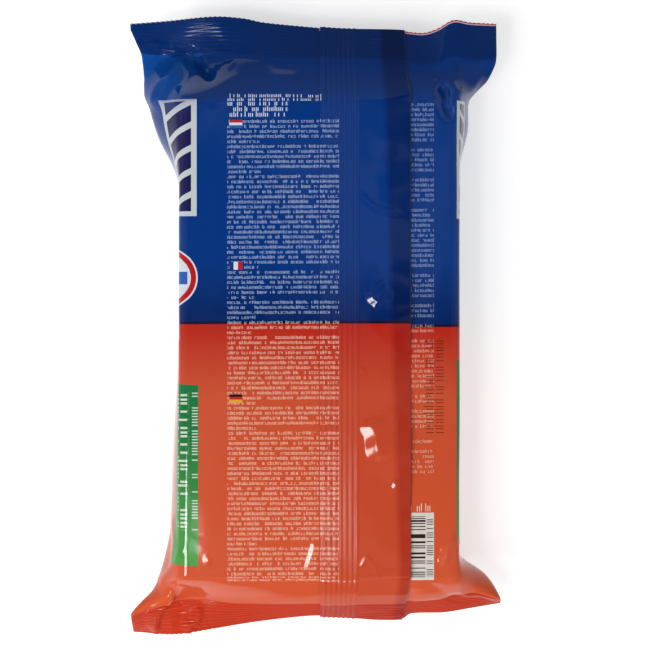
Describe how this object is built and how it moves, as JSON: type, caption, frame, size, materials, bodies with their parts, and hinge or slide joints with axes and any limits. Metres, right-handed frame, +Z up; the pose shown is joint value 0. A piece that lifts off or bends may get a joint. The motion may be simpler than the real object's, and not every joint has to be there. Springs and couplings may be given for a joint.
{
  "type": "wet wipes pack",
  "caption": "Sealed flow-wrap pack of wet wipes lying on its front, with a folded-over fin seam along its back, crimped wavy end strips and a peelable reseal label underneath.",
  "frame": {"origin": "on the surface the pack lies on, under the middle of its whole width and length", "axes": "+X across the pack towards the side the fin is folded to, +Y along it towards its top end, +Z up, out of the back with the fin seam"},
  "size_m": [0.1572, 0.261, 0.0451],
  "materials": {
    "printed_film": "glossy printed film, blue towards the top end and red towards the bottom end",
    "label": "satin"
  },
  "bodies": {
    "root": {"film_pack": "printed_film", "reseal_label": "label"}
  },
  "joints": []
}
